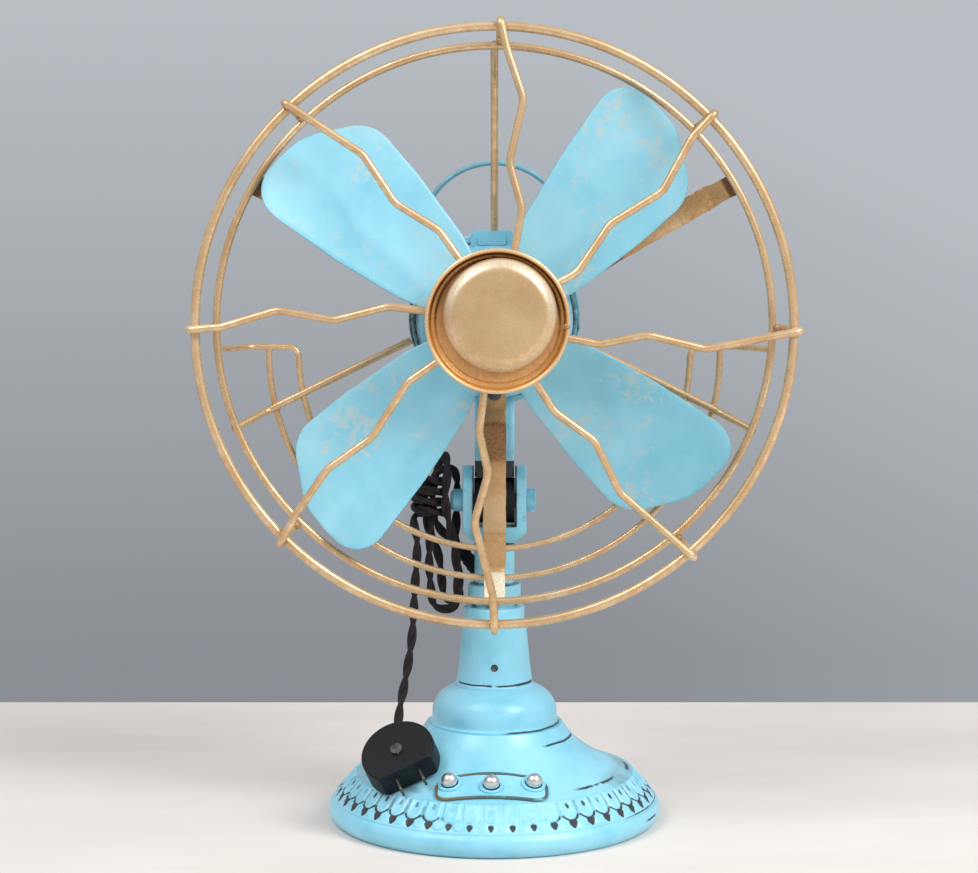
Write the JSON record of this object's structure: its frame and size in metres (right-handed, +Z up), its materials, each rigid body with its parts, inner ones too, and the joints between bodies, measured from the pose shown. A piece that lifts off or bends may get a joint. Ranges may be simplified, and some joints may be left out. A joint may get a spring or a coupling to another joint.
{
  "type": "desk fan",
  "caption": "Small desk fan with turned foot and tilting fork, paddle blades in a wire cage, push buttons on the foot and a twisted cord hanging over the fork with a round plug.",
  "frame": {"origin": "middle of the foot's underside, on the surface the fan stands on", "axes": "+Z up, the fan blows towards -Y, +X to the right of someone facing it"},
  "size_m": [0.3116, 0.1776, 0.4219],
  "materials": {
    "blue_paint": "worn satin paint",
    "gold_paint": "brushed gold paint",
    "silver": "polished",
    "steel": "plain",
    "iron_core": "laminated",
    "copper": "enamelled wire",
    "bronze": "plain",
    "black_plastic": "satin",
    "black_washer": "matt",
    "cord_cloth": "braided"
  },
  "bodies": {
    "root": {"base_skirt": "blue_paint", "bulge_collar": "blue_paint", "column": "blue_paint", "stem_fork": "blue_paint", "switch_plate": "blue_paint", "tilt_bolt": "blue_paint", "tilt_nut": "blue_paint", "set_screw": "steel", "tie_tube": "steel", "tie_nut": "steel", "cover_screws": "steel", "button_spring_left": "steel", "button_spring_middle": "steel", "button_spring_right": "steel", "cord_gland": "steel", "plug_screw": "steel", "plug_pins": "bronze", "plug_body": "black_plastic", "plug_cover": "black_plastic", "switch_block": "black_plastic", "base_cover": "black_plastic", "cord_lead": "cord_cloth", "cord_drop": "cord_cloth", "cord_hank": "cord_cloth"},
    "head": {"motor_post": "blue_paint", "motor_front_bell": "blue_paint", "motor_rear_bell": "blue_paint", "carry_handle": "blue_paint", "guard_front_ring": "gold_paint", "guard_rear_ring": "gold_paint", "hub_dish": "gold_paint", "rear_spokes": "gold_paint", "rear_straps": "gold_paint", "lower_guard_inner": "gold_paint", "lower_guard_middle": "gold_paint", "front_wire_1": "gold_paint", "front_wire_2": "gold_paint", "front_wire_3": "gold_paint", "front_wire_4": "gold_paint", "front_wire_5": "gold_paint", "front_wire_6": "gold_paint", "front_wire_7": "gold_paint", "front_wire_8": "gold_paint", "through_bolts": "steel", "stator_core": "iron_core", "stator_coils": "copper", "bearings": "bronze", "tilt_washers": "black_washer"},
    "rotor": {"shaft": "steel", "hub_nut": "steel", "rotor_core": "iron_core", "blade_hub": "blue_paint", "blade_1": "blue_paint", "blade_2": "blue_paint", "blade_3": "blue_paint", "blade_4": "blue_paint"},
    "button_left": {"button_left": "silver"},
    "button_middle": {"button_middle": "silver"},
    "button_right": {"button_right": "silver"}
  },
  "joints": [
    {"name": "head_tilt", "type": "hinge", "parent": "root", "child": "head", "pos_m": [0, 0, 0.1714], "axis": [1, 0, 0], "range_deg": [-30, 10]},
    {"name": "fan_spin", "type": "hinge", "parent": "head", "child": "rotor", "pos_m": [0, 0, 0.268], "axis": [0, 1, 0], "continuous": true},
    {"name": "button_left_press", "type": "slide", "parent": "root", "child": "button_left", "axis": [0.1641, 0.4145, -0.8952], "range_m": [0, 0.0025], "stiffness_N_per_m": 600, "springref_m": -0.0008, "deforming": ["button_spring_left"]},
    {"name": "button_middle_press", "type": "slide", "parent": "root", "child": "button_middle", "axis": [0.0109, 0.4456, -0.8952], "range_m": [0, 0.0025], "stiffness_N_per_m": 600, "springref_m": -0.0008, "deforming": ["button_spring_middle"]},
    {"name": "button_right_press", "type": "slide", "parent": "root", "child": "button_right", "axis": [-0.1437, 0.422, -0.8952], "range_m": [0, 0.0025], "stiffness_N_per_m": 600, "springref_m": -0.0008, "deforming": ["button_spring_right"]}
  ]
}
